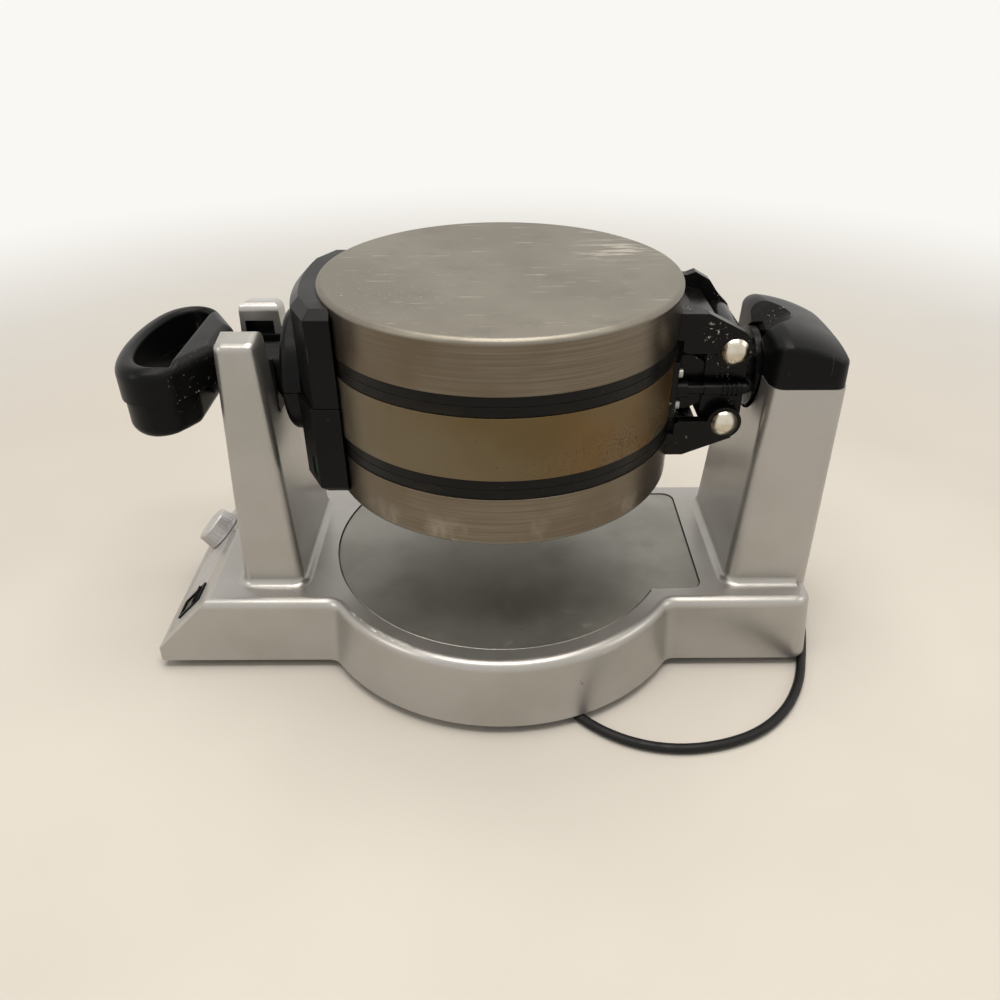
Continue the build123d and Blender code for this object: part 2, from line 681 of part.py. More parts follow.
def front_cover():
    """Half of the dark cover that clips over the drum's rim by the handle."""
    solid = extrude(Pos(0, 0, SPLIT_GAP) * cover_outline(), amount=COVER_TOP - SPLIT_GAP)
    crest = [
        edge
        for edge in solid.edges()
        if edge.bounding_box().min.Z > COVER_TOP - 0.1 and edge.center().X < -COVER_BACK + 11
    ]
    solid = chamfer(crest, 5)
    pocket = extrude(Pos(0, 0, SPLIT_GAP + 2.5) * offset(cover_outline(), -2.5), amount=COVER_TOP - 10)
    solid -= pocket & rod_z(COVER_R - 4, 0, 80)
    solid -= rod_z(DRUM_R, -1, 80) + rod_z(DRUM_R + 0.4, -1, LID_EDGE)
    for y in GRIP_SCREW_Y:
        solid -= rod_x(1.6, -130, -100, y, GRIP_SCREW_Z)
    return solid & block((-140, -COVER_BACK), (-80, 80), (0, 80))


def lens_solid(grow, low, high):
    """The light's lens on the cover's slanted face, or the opening for it."""
    run_x, run_y = COVER_KNEE[0] - COVER_R + 3, COVER_KNEE[1] - COVER_HALF
    length = sqrt(run_x * run_x + run_y * run_y)
    place = Plane(
        origin=(-LENS_AT[0], LENS_AT[1], LENS_AT[2]),
        x_dir=(run_x, run_y, 0),
        z_dir=(run_y / length, -run_x / length, 0),
    )
    face = RectangleRounded(LENS_SIZE[0] + 2 * grow, LENS_SIZE[1] + 2 * grow, 2)
    return place * Pos(0, 0, low) * extrude(face, amount=high - low)


def loop_outline(bow, end):
    """The grip seen from above: a bow outside, shoulders running in to the neck."""
    lean = (end[0] - bow[-1][0], end[1] - bow[-1][1])
    edges = [Line((end[0], -end[1]), end)]
    for side in (-1, 1):
        points = [(x, side * y) for x, y in bow]
        edges.append(Spline(*points, tangents=[(0, side), (lean[0], side * lean[1])]))
        edges.append(Line(points[-1], (end[0], side * end[1])))
    face = make_face(Curve() + edges)
    return fillet([corner for corner in face.vertices() if corner.X > end[0] - 1], 9)


def grip_outline():
    """The finger gap: bowed outside, straight along the neck's side."""
    end = GRIP_BOW[-1]
    edges = [Line((end[0], -end[1]), end)]
    for side in (-1, 1):
        points = [(x, side * y) for x, y in GRIP_BOW]
        edges.append(Spline(*points, tangents=[(0, side), (1, -0.6 * side)]))
    face = make_face(Curve() + edges)
    return fillet([corner for corner in face.vertices() if corner.X > end[0] - 1], GRIP_CORNER)


def is_grip_edge(edge):
    """Whether an edge is where the finger gap meets the grip's top."""
    size = edge.bounding_box()
    inside = size.min.X > GRIP_BOW[0][0] - 1 and size.max.X < GRIP_BOW[-1][0] + 1
    return inside and size.min.Z > LOOP_TOP - 0.1


def half_round_x(r, x0, x1):
    """The upper half of a round bar along X, clear of the parting plane."""
    return rod_x(r, x0, x1) & block((x0 - 1, x1 + 1), (-r - 1, r + 1), (SPLIT_GAP, r + 1))


def handle_half(bow, end, edge_r, brow_r):
    """Half of the looped grip with its half of the neck and collar."""
    outline = loop_outline(bow, end)
    loop = extrude(Pos(0, 0, SPLIT_GAP) * outline, amount=LOOP_TOP - SPLIT_GAP)
    top = [edge for edge in loop.edges() if edge.bounding_box().min.Z > LOOP_TOP - 0.1]
    loop = fillet(top, edge_r)
    loop -= extrude(Pos(0, 0, -1) * grip_outline(), amount=LOOP_TOP + 5)
    brow = [edge for edge in loop.edges() if is_grip_edge(edge)]
    loop = fillet(brow, brow_r)
    collar = half_round_x(COLLAR_R, COLLAR_X[0], COLLAR_X[1])
    brim = [
        edge
        for edge in collar.edges()
        if edge.bounding_box().max.X < COLLAR_X[0] + 0.1 and edge.bounding_box().size.Z > 10
    ]
    collar = fillet(brim, 4)
    collar -= extrude(Pos(0, 0, -1) * cover_outline(), amount=COVER_TOP)
    for y in GRIP_SCREW_Y:
        collar -= rod_x(1.6, -124.5, -100, y, GRIP_SCREW_Z)
    return loop + half_round_x(NECK_R, end[0] - 6, COLLAR_X[0] + 1) + collar


def grip_screw(y):
    """A screw from inside the cover into the handle's collar."""
    seat = -110.5
    return rod_x(3.2, seat, seat + 2.2, y, GRIP_SCREW_Z) + rod_x(1.5, seat - 13, seat, y, GRIP_SCREW_Z)


# Controls

def slope_rod(x_along, y, r, low, high):
    """A round bar standing square to the sloped end."""
    return on_slope(x_along, y, low) * extrude(Circle(r), amount=high - low)


def control_knob():
    """A fluted dial with a bore for its shaft."""
    x, y = KNOB_AT
    body = extrude(Circle(KNOB_R), amount=KNOB_H, taper=5)
    top = [edge for edge in body.edges() if edge.bounding_box().min.Z > KNOB_H - 0.1]
    body = fillet(top, 1.5)
    flutes = 24
    for step in range(flutes):
        turn = Rot(0, 0, 360 * step / flutes)
        body -= turn * Pos(KNOB_R + 0.6, 0, 2) * extrude(Circle(1.5), amount=KNOB_H)
    body -= extrude(Circle(3), amount=KNOB_H - 4)
    return on_slope(x, y, KNOB_LIFT) * body


def dial_potentiometer():
    x, y = KNOB_AT
    body = slope_rod(x, y, 8.5, -13, -3)
    return body - slope_rod(x, y, 3 + RUN_FIT, -11, -2)


def dial_shaft():
    x, y = KNOB_AT
    return slope_rod(x, y, 3, -10.5, KNOB_LIFT + KNOB_H - 5)


def switch_body():
    """The mains switch: a framed well with a pin for its rocker."""
    place = on_slope(ROCKER_AT[0], ROCKER_AT[1])
    body = place * Pos(0, 0, -14) * extrude(Rectangle(ROCKER_L + 0.6, ROCKER_W + 0.6), amount=15)
    body += place * extrude(RectangleRounded(ROCKER_L + 3, ROCKER_W + 3, 1.5), amount=1.2)
    well = place * Pos(0, 0, -10.5) * extrude(Rectangle(ROCKER_L - 0.8, ROCKER_W - 0.8), amount=14)
    pin = place * Pos(0, 0, -ROCKER_DEEP) * Rot(90, 0, 0) * Cylinder(1, ROCKER_W)
    return body - well + pin


def power_rocker():
    """The rocker, one end pressed in, with a bore for its pin."""
    half = ROCKER_L / 2 - 1.7
    outline = [(-half, 5.6), (0, 4.4), (half, 5.6), (half + 0.5, 0), (6, -4), (-6, -4), (-half - 0.5, 0)]
    body = side_profile(outline, -ROCKER_W / 2 + 0.8, ROCKER_W / 2 - 0.8)
    body -= rod_y(1 + RUN_FIT, -ROCKER_W, ROCKER_W)
    return on_slope(ROCKER_AT[0], ROCKER_AT[1], -ROCKER_DEEP) * Rot(0, -ROCKER_SWING, 0) * body


def indicator_light(along):
    lens = slope_rod(along, LIGHT_Y, 3, -4.5, 0.6)
    return lens + slope_rod(along, LIGHT_Y, 4, -6, -3.1)


def circuit_board():
    """The board behind the panel, with a relay and a capacitor."""
    place = on_slope(24, 0)
    board = place * Pos(0, 12, -16) * extrude(Rectangle(24, 66), amount=1.6)
    relay = place * Pos(0, -10, -22) * extrude(Rectangle(14, 18), amount=6.2)
    can = place * Pos(2, 30, -23) * extrude(Circle(5), amount=7.2)
    return board + relay + can


# Wiring, cord and plug

def wire(points, r, bend):
    path = FilletPolyline(*points, radius=bend)
    start = Plane(origin=path @ 0, z_dir=path % 0)
    return sweep(start * Circle(r), path=path)


def base_wiring():
    """Leads from the cord to the switch, and from the board up the right tower to the shaft."""
    x, y, z = CORD_EXIT
    mains = wire([(x, y - 10, z), (x, 30, z), (-182, -14, 22), (-186, -40, 24)], 2, 6)
    route = [(187, 0, AXIS_Z), (190, 0, AXIS_Z - 14), (190, LEAD_Y, 44)]
    route += [(x, LEAD_Y, LEAD_Z) for x in (186, 140)]
    riser = wire(route + [(-60, LEAD_Y + 2, LEAD_Z), (-176, LEAD_Y, LEAD_Z)], 2, 5)
    return mains, riser


def drum_wiring():
    """Leads through the hollow shaft to each of the heaters."""
    leads = []
    for side in (-1, 1):
        points = [(x, side * 2.6, 0) for x in (SHAFT_END + 1, 86)]
        points += [(70, side * 5, side * 5), (64, side * 7, side * 6.6)]
        leads.append(at_axis(wire(points, 1.5, 3)))
    return leads


def strain_relief():
    """The tapered sleeve that the cord leaves the base through."""
    x, y, z = CORD_EXIT
    nose = Pos(x, y + RELIEF / 2 + 1, z) * Rot(-90, 0, 0) * Cone(6, 4, RELIEF - 2)
    return nose + rod_y(6, y - 9, y + 3, x=x, z=z) + rod_y(8, y - 10, y - 3.6, x=x, z=z)


def cord_route():
    """Route of the free stretch: behind the base, under it, round the front, and back to the coil."""
    x, y, z = CORD_EXIT
    floor = CORD_Z
    return [
        (x, y + RELIEF, z),
        (-150, 112, z),
        (-150, 134, 12.5),
        (-133, 153, 4.8),
        (-108, 157, floor),
        (-79, 154, floor),
        (-50, 149, floor),
        (-22, 140, floor),
        (1, 124, floor),
        (17, 100, floor),
        (24, 73, floor),
        (24, 45, floor),
        (19, 18, floor),
        (13, -9, floor),
        (11, -37, floor),
        (15, -64, floor),
        (25, -89, floor),
        (39, -110, floor),
        (57, -128.5, floor),
        (80, -140.5, floor),
        (105, -144.5, floor),
        (131, -141, floor),
        (155, -131.5, floor),
        (175, -114.5, floor),
        (190, -92, floor),
        (199, -67, floor),
        (207, -41, floor),
        (214, -13, floor),
        (218, 15, floor),
        (219, 42, floor),
        (216, 68, floor),
        (207, 92, floor),
        (188, 113, floor),
        (162, 125, floor),
        (134, 130, floor),
        (108, 132, floor),
        (88, COIL_NEAR, floor),
        (COIL_X + 2 * CORD_R, COIL_NEAR, floor),
    ]


def bend_radii(points):
    """As large as the two runs at each corner allow."""
    radii = []
    for before, corner, after in zip(points, points[1:], points[2:]):
        run_in = Vector(*corner) - Vector(*before)
        run_out = Vector(*after) - Vector(*corner)
        half_turn = radians(run_in.get_angle(run_out) / 2)
        radii.append(0.45 * min(run_in.length, run_out.length) / tan(half_turn))
    return radii


def report_tube(name, tube, path):
    ratio = tube.volume / (pi * CORD_R**2 * path.length)
    print(name, "length", round(path.length), "volume ratio", round(ratio, 4))


def power_cord():
    points = cord_route()
    radii = bend_radii(points)
    print("cord bend radii", [round(radius) for radius in radii])
    path = FilletPolyline(*points, radius=radii)
    tube = sweep(Plane(origin=path @ 0, z_dir=path % 0) * Circle(CORD_R), path=path)
    report_tube("cord", tube, path)
    return tube


def coil_path():
    """One and a half turns: spiralling in, climbing a layer on the far turn, spiralling out."""
    x, low, high = COIL_X, CORD_Z, CORD_Z + COIL_LIFT
    first = 2 * COIL_OUTER - COIL_STEP
    climb = first - COIL_STEP
    near, far = COIL_NEAR, COIL_NEAR + first
    inner, end = far - climb, far - climb + first
    end_run = 2 * CORD_R
    middle = (far + inner) / 2, (low + high) / 2
    return [
        Line((x + end_run, near, low), (x, near, low)),
        ThreePointArc((x, near, low), (x - first / 2, (near + far) / 2, low), (x, far, low)),
        ThreePointArc((x, far, low), (x + sqrt(climb**2 + COIL_LIFT**2) / 2, *middle), (x, inner, high)),
        ThreePointArc((x, inner, high), (x - first / 2, (inner + end) / 2, high), (x, end, high)),
        Line((x, end, high), (x + end_run, end, high)),
    ]


def cord_coil():
    path = Wire(coil_path())
    tube = sweep(Plane(origin=path @ 0, z_dir=path % 0) * Circle(CORD_R), path=path)
    report_tube("coil", tube, path)
    print("coil least gap to itself", round(least_gap(path), 2))
    return tube


def least_gap(path):
    """Smallest gap between stretches of the coil that are more than a quarter turn apart."""
    count = 240
    points = [path @ (step / count) for step in range(count + 1)]
    apart = int(count * (pi * COIL_OUTER / 2) / path.length)
    gaps = [
        (points[i] - points[j]).length - 2 * CORD_R
        for i in range(count + 1)
        for j in range(i + apart, count + 1)
    ]
    return min(gaps)


def plug_start():
    first = 2 * COIL_OUTER - COIL_STEP
    return COIL_X + 2 * CORD_R, COIL_NEAR + first + COIL_STEP, CORD_Z + COIL_LIFT


def power_plug():
    """The moulded plug with its tapered sleeve, lying beside the coil."""
    x, y, z = plug_start()
    length, width, height = PLUG_BODY
    sleeve = Pos(x + PLUG_RELIEF / 2 + 0.5, y, z) * Rot(0, 90, 0) * Cone(4, 6, PLUG_RELIEF + 1)
    body = Pos(x + PLUG_RELIEF + length / 2, y, z) * Box(length, width, height)
    body = fillet(body.edges().filter_by(Axis.X), 5)
    return sleeve + body


def plug_blade(side):
    x, y, z = plug_start()
    x += PLUG_RELIEF + PLUG_BODY[0] + BLADE[0] / 2
    return Pos(x, y + side * BLADE_PITCH / 2, z) * Box(*BLADE)


# Everything is written out, group by group

def write_base():
    base, left, right = housing_mouldings()
    write("base_housing", base)
    write("left_tower", left)
    write("right_tower", right)
    write("drip_tray", drip_tray())
    write("bottom_cover", bottom_cover())
    write("rubber_feet", *[rubber_foot(x, y) for x, y in FEET_AT])
    write("cover_screws", *[cover_screw(x, y) for x, y in SCREW_AT])
    write("control_panel", control_panel())
    write("cradle_liner", cradle_liner())
    write("tower_cap", tower_cap())
    write("shaft_frame", shaft_frame())
    write("inner_bearing", shaft_bearing(BEARING_X[0]))
    write("outer_bearing", shaft_bearing(BEARING_X[1]))
    write("circuit_board", circuit_board())
    write("dial_potentiometer", dial_potentiometer())
    write("switch_body", switch_body())
    write("indicator_lights", *[indicator_light(along) for along in LIGHT_ALONG])
    write("base_wiring", *base_wiring())
    write("strain_relief", strain_relief())
    write("power_cord", power_cord())
    write("cord_coil", cord_coil())
    write("power_plug", power_plug())
    write("plug_blades", *[plug_blade(side) for side in (-1, 1)])


def write_controls():
    write("control_knob", control_knob())
    write("dial_shaft", dial_shaft())
    write("power_rocker", power_rocker())


def write_drum():
    half_gap = SPLIT_GAP / 2
    write("mid_housing", mid_housing())
    write("upper_mid_plate", at_axis(waffle_plate(PLATE_SPLIT - half_gap, -1)))
    write("lower_mid_plate", at_axis(waffle_plate(-PLATE_SPLIT + half_gap, 1)))
    write("upper_mid_heater", at_axis(heater(HEATER_Z[0])))
    write("lower_mid_heater", at_axis(heater(-HEATER_Z[0])))
    write("hinge_bracket", hinge_bracket())
    write("bracket_screws", *[bracket_screw(y, z) for y, z in BRACKET_SCREWS])
    write("upper_hinge_pin", hinge_pin(PIN_Z))
    write("lower_hinge_pin", hinge_pin(-PIN_Z))
    write("rotor_shaft", rotor_shaft())
    write("retaining_ring", retaining_ring())
    write("cable_conduit", cable_conduit())
    write("drum_wiring", *drum_wiring())


def write_lid(side, place, front, rear, grip):
    lens_hole = lens_solid(0.1, -6, 3)
    cover = front_cover()
    if side == "lower":
        cover -= lens_hole
        write("cover_lens", place(lens_solid(0, -2.2, 0.6)))
    write(f"{side}_lid", place(lid_shell()))
    write(f"{side}_plate", place(waffle_plate(PLATE_SPLIT + SPLIT_GAP / 2, 1)))
    write(f"{side}_heater", place(heater(HEATER_Z[1])))
    write(f"{side}_hinge_arms", place(hinge_arms(front, rear)))
    write(f"{side}_arm_screws", *[place(arm_screw(y)) for y in ARM_SCREW_Y])
    write(f"{side}_cover", place(cover))
    write(f"{side}_handle", place(grip))
    write(f"{side}_handle_screws", *[place(grip_screw(y)) for y in GRIP_SCREW_Y])


write_base()
write_controls()
write_drum()
write_lid("upper", at_axis, UPPER_FRONT, UPPER_REAR, handle_half(LOOP_BOW, LOOP_END, 7, 3))
write_lid("lower", turned_over, LOWER_ARM, LOWER_ARM, handle_half(UNDER_BOW, UNDER_END, 6.5, 1.8))
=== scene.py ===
import json
from math import cos, pi, radians, sin

import bpy
from mathutils import Matrix, Vector

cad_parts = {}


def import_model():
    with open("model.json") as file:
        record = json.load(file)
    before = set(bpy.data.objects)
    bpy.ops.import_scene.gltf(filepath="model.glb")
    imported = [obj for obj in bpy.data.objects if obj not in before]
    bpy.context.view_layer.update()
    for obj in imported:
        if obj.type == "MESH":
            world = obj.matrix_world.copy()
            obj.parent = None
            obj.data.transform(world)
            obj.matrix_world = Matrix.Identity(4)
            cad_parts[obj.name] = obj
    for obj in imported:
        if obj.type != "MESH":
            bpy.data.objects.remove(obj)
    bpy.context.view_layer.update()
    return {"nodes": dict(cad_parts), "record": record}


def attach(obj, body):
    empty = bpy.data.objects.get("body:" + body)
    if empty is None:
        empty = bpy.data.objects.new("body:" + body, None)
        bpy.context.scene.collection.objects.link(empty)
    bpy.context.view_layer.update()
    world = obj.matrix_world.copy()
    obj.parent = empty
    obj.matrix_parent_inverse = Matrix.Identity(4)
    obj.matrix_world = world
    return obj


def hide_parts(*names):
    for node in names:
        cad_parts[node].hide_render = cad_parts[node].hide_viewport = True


# A countertop waffle maker that turns over. Everything is in metres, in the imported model's frame.

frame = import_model()
MM = 0.001
DRUM_X = 11.5
AXIS_Z = 0.1825
DISC_Z = 0.2425

# Camera: the photograph's viewpoint

CAMERA_AT = (10.8 * MM, -474.5 * MM, 393.6 * MM)
CAMERA_DOWN = 0.5774
CAMERA_ROLL = -0.0048
CAMERA_LENS = 30.06

lens = bpy.data.cameras.new("camera")
lens.sensor_width = 36.0
lens.lens = CAMERA_LENS
lens.clip_start = 0.01
camera = bpy.data.objects.new("camera", lens)
bpy.context.scene.collection.objects.link(camera)
turn = Matrix.Rotation(pi / 2 - CAMERA_DOWN, 4, "X") @ Matrix.Rotation(CAMERA_ROLL, 4, "Z")
camera.matrix_world = Matrix.Translation(CAMERA_AT) @ turn
bpy.context.scene.camera = camera


# Materials are built up in layers

def linear(red, green, blue):
    """A display colour, 0 to 255, as the linear values that the shader takes."""
    values = []
    for value in (red, green, blue):
        value /= 255
        values.append(value / 12.92 if value <= 0.04045 else ((value + 0.055) / 1.055) ** 2.4)
    return (*values, 1.0)


class Surface:
    """One procedural material. Masks are sockets between 0 and 1; places are in metres on the piece."""

    def __init__(self, name, colour, metallic=0.0, rough=0.4):
        self.material = bpy.data.materials.new(name)
        self.material.use_nodes = True
        self.tree = self.material.node_tree
        self.shader = self.tree.nodes["Principled BSDF"]
        self.shader.inputs["Metallic"].default_value = metallic
        self.place = self.node("ShaderNodeTexCoord").outputs["Object"]
        self.colour = colour
        self.rough = rough
        self.heights = []
        self.set(self.shader.inputs["Base Color"], colour)
        self.set(self.shader.inputs["Roughness"], rough)

    def node(self, kind):
        return self.tree.nodes.new(kind)

    def set(self, socket, value):
        if isinstance(value, bpy.types.NodeSocket):
            self.tree.links.new(value, socket)
        else:
            socket.default_value = value

    def noise(self, scale, detail=3.0, stretch=(1, 1, 1), angle=0.0, seed=0.0, harsh=0.55):
        """Cloudy noise; scale is features per metre, stretch squeezes it along each axis."""
        mapping = self.node("ShaderNodeMapping")
        self.set(mapping.inputs["Vector"], self.place)
        mapping.inputs["Location"].default_value = (seed, 1.7 * seed, -seed)
        mapping.inputs["Rotation"].default_value = (0, 0, angle)
        mapping.inputs["Scale"].default_value = stretch
        noise = self.node("ShaderNodeTexNoise")
        self.set(noise.inputs["Vector"], mapping.outputs["Vector"])
        noise.inputs["Scale"].default_value = scale
        noise.inputs["Detail"].default_value = detail
        noise.inputs["Roughness"].default_value = harsh
        return noise.outputs["Fac"]

    def remap(self, value, low, high, start=0.0, end=1.0):
        ramp = self.node("ShaderNodeMapRange")
        ramp.interpolation_type = "SMOOTHSTEP"
        self.set(ramp.inputs["Value"], value)
        for key, number in (("From Min", low), ("From Max", high), ("To Min", start), ("To Max", end)):
            ramp.inputs[key].default_value = number
        return ramp.outputs["Result"]

    def math(self, kind, first, second):
        node = self.node("ShaderNodeMath")
        node.operation = kind
        self.set(node.inputs[0], first)
        self.set(node.inputs[1], second)
        return node.outputs[0]

    def along(self, axis, low, high):
        """A mask that rises from 0 to 1 along one axis."""
        split = self.node("ShaderNodeSeparateXYZ")
        self.set(split.inputs[0], self.place)
        return self.remap(split.outputs[axis], low, high)

    def near(self, centre, reach, soft):
        """A mask around a point: 1 inside reach, fading over soft."""
        gap = self.node("ShaderNodeVectorMath")
        gap.operation = "DISTANCE"
        self.set(gap.inputs[0], self.place)
        gap.inputs[1].default_value = centre
        return self.remap(gap.outputs["Value"], reach, reach + soft, 1.0, 0.0)

    def within(self, low, high, soft):
        """A mask that is 1 inside a box and fades over soft outside it."""
        mask = 1.0
        for axis in range(3):
            mask = self.math("MULTIPLY", mask, self.along(axis, low[axis] - soft, low[axis]))
            mask = self.math("MULTIPLY", mask, self.along(axis, high[axis] + soft, high[axis]))
        return mask

    def paint(self, colour, mask):
        mix = self.node("ShaderNodeMix")
        mix.data_type = "RGBA"
        self.set(mix.inputs[0], mask)
        self.set(mix.inputs[6], self.colour)
        self.set(mix.inputs[7], colour)
        self.colour = mix.outputs[2]
        self.set(self.shader.inputs["Base Color"], self.colour)
        return self

    def polish(self, rough, mask):
        mix = self.node("ShaderNodeMix")
        self.set(mix.inputs[0], mask)
        self.set(mix.inputs[2], self.rough)
        self.set(mix.inputs[3], rough)
        self.rough = mix.outputs[0]
        self.set(self.shader.inputs["Roughness"], self.rough)
        return self

    def gloss(self, level):
        """How strongly a plastic or painted surface mirrors; 0.5 is the usual plastic."""
        self.shader.inputs["Specular IOR Level"].default_value = level
        return self

    def coat(self, weight, rough):
        """A clear lacquer over everything else."""
        self.shader.inputs["Coat Weight"].default_value = weight
        self.shader.inputs["Coat Roughness"].default_value = rough
        return self

    def overlap(self, first, second):
        """Where both masks are."""
        return self.math("MULTIPLY", first, second)

    def dull(self, amount, mask):
        """Takes metal shine away where the mask is."""
        metal = self.shader.inputs["Metallic"].default_value
        self.set(self.shader.inputs["Metallic"], self.remap(mask, 0.0, 1.0, metal, metal * (1 - amount)))
        return self

    def relief(self, height, distance):
        """Adds a bump of that many metres; several stack."""
        self.heights.append((height, distance))
        return self

    def done(self, edge=0.0):
        """Joins the bumps; edge is how far sharp edges look worn round, in metres."""
        normal = None
        if edge:
            bevel = self.node("ShaderNodeBevel")
            bevel.samples = 4
            bevel.inputs["Radius"].default_value = edge
            normal = bevel.outputs["Normal"]
        for height, distance in self.heights:
            bump = self.node("ShaderNodeBump")
            bump.inputs["Distance"].default_value = distance
            self.set(bump.inputs["Height"], height)
            if normal is not None:
                self.set(bump.inputs["Normal"], normal)
            normal = bump.outputs["Normal"]
        if normal is not None:
            self.set(self.shader.inputs["Normal"], normal)
        return self.material


# Places on the object: the slot in the rear prong, whose inside is painted dark as shade, scuffs on the
# base, and where crumbs lie and how far

PRONG_SLOT_SHADE = (-0.147, 0.0208, 0.1928), (-0.1292, 0.0296, 0.205)
SCUFFS = [(-0.092, -0.099, 0.05), (-0.099, -0.09, 0.052), (0.06, -0.122, 0.03)]
GRIP_CRUMBS = [
    ((-0.158, -0.04, 0.19), 0.012),
    ((-0.15, -0.012, 0.2), 0.006),
    ((0.185, 0.005, 0.212), 0.008),
]
HINGE_CRUMBS = [
    ((0.132, -0.033, 0.217), 0.003),
    ((0.15, 0.031, 0.222), 0.005),
    ((0.142, -0.032, 0.186), 0.004),
]


def silver_paint():
    """Moulded plastic with a metallic lacquer: fine flake, faint clouds, a few nicks and scuffs, and
    painted shade inside the rear prong's slot.
    """
    s = Surface("silver_paint", linear(174, 171, 168), metallic=0.8, rough=0.32)
    s.paint(linear(164, 161, 156), s.remap(s.noise(14), 0.35, 0.7))
    s.paint(linear(214, 211, 206), s.remap(s.noise(2600, 1), 0.6, 0.85, 0, 0.3))
    s.paint(linear(112, 104, 96), s.remap(s.noise(420, 2, seed=3), 0.78, 0.81, 0, 0.6))
    scuff = s.remap(s.noise(190, 3, stretch=(1, 3, 1), seed=6), 0.6, 0.66)
    for centre in SCUFFS:
        s.paint(linear(104, 98, 92), s.overlap(scuff, s.near(centre, 0.003, 0.006)))
    s.polish(0.38, s.remap(s.noise(24, 3, seed=5), 0.4, 0.8))
    # painted shade: the inside of the slot in the rear prong, with a thin rim round its mouth, is painted
    # near black and loses its metal shine
    slot_shade = s.within(*PRONG_SLOT_SHADE, 0.0001)
    s.paint(linear(14, 13, 13), slot_shade)
    s.dull(1.0, slot_shade)
    s.relief(s.noise(1500, 2, seed=1), 0.000012)
    s.coat(0.25, 0.16)
    return s.done()


def tray_metal():
    """Satin sheet, greyer than the base, with dried marks and a few dark crumbs."""
    s = Surface("tray_metal", linear(154, 152, 146), metallic=0.85, rough=0.4)
    s.paint(linear(138, 136, 129), s.remap(s.noise(18, 4), 0.4, 0.68))
    s.paint(linear(170, 168, 162), s.remap(s.noise(60, 6, seed=2, harsh=0.7), 0.6, 0.72, 0, 0.45))
    s.paint(linear(104, 96, 84), s.remap(s.noise(230, 3, seed=7), 0.73, 0.77, 0, 0.7))
    s.polish(0.55, s.remap(s.noise(60, 6, seed=2, harsh=0.7), 0.55, 0.75))
    s.relief(s.noise(70, 2, stretch=(1, 26, 1)), 0.00003)
    return s.done(0.0004)


def brushed(s, seed):
    """Fine lines round the wall, and straight ones across the flat discs; returns the disc mask."""
    split = s.node("ShaderNodeSeparateXYZ")
    s.set(split.inputs[0], s.place)
    off_axis = s.math("ABSOLUTE", s.math("SUBTRACT", split.outputs[2], AXIS_Z), 0.0)
    disc = s.remap(off_axis, 0.0566, 0.0582)
    round_lines = s.noise(16, 3, stretch=(1, 1, 90), seed=seed)
    straight = s.noise(16, 3, stretch=(1, 90, 1), angle=radians(4), seed=seed)
    lines = s.node("ShaderNodeMix")
    s.set(lines.inputs[0], disc)
    s.set(lines.inputs[2], round_lines)
    s.set(lines.inputs[3], straight)
    return disc, lines.outputs[0]


def lid_steel():
    """Brushed steel: darker round the wall, worn pale and dull on the discs, with the pale tone carried
    over the rounded rim as a painted highlight, a painted highlight streaked over the back right of the
    top disc, and dried drips.
    """
    s = Surface("lid_steel", linear(122, 113, 101), metallic=1.0, rough=0.3)
    disc, lines = brushed(s, 1)
    s.paint(linear(108, 99, 86), s.remap(lines, 0.35, 0.65))
    s.paint(linear(104, 92, 77), s.remap(s.noise(12, 3, seed=21), 0.42, 0.7))
    # partly painted highlight: the pale disc tone also covers the rounded rim and stands in for its
    # highlight; on the flat discs it is worn steel
    s.paint(linear(132, 127, 117), disc)
    s.paint(linear(122, 116, 106), s.overlap(disc, s.remap(s.noise(11, 4, seed=4), 0.4, 0.66)))
    cloud = s.remap(s.noise(48, 5, seed=17, harsh=0.7), 0.52, 0.7, 0, 0.5)
    s.paint(linear(114, 108, 99), s.overlap(disc, cloud))
    s.polish(0.46, disc)
    # painted highlight: a bright streaky patch towards the back right of the top disc
    painted_glare = s.near((0.083, 0.035, DISC_Z), 0.006, 0.03)
    streak = s.remap(s.noise(30, 4, stretch=(1, 5, 1), angle=radians(-30), seed=6), 0.5, 0.62)
    s.paint(linear(178, 172, 160), s.overlap(painted_glare, streak))
    hair = s.remap(s.noise(34, 5, stretch=(1, 20, 1), angle=radians(28), seed=26), 0.66, 0.69, 0, 0.6)
    s.paint(linear(202, 196, 186), s.overlap(disc, hair))
    dots = s.remap(s.noise(620, 2, seed=9), 0.68, 0.73, 0, 0.8)
    spread = s.near((-0.055, -0.035, DISC_Z), 0.012, 0.045)
    s.paint(linear(198, 193, 182), s.overlap(dots, spread))
    drips = s.remap(s.noise(46, 5, stretch=(1, 1, 0.5), seed=15), 0.5, 0.78, 0, 0.5)
    low_wall = s.math("SUBTRACT", s.along(2, 0.146, 0.126), disc)
    s.paint(linear(190, 184, 172), s.overlap(drips, s.remap(low_wall, 0.0, 1.0)))
    specks = s.remap(s.noise(380, 3, seed=19), 0.7, 0.74, 0, 0.6)
    s.paint(linear(84, 64, 44), s.overlap(specks, s.along(0, 0.02, 0.1)))
    s.relief(lines, 0.00002)
    return s.done(0.0005)


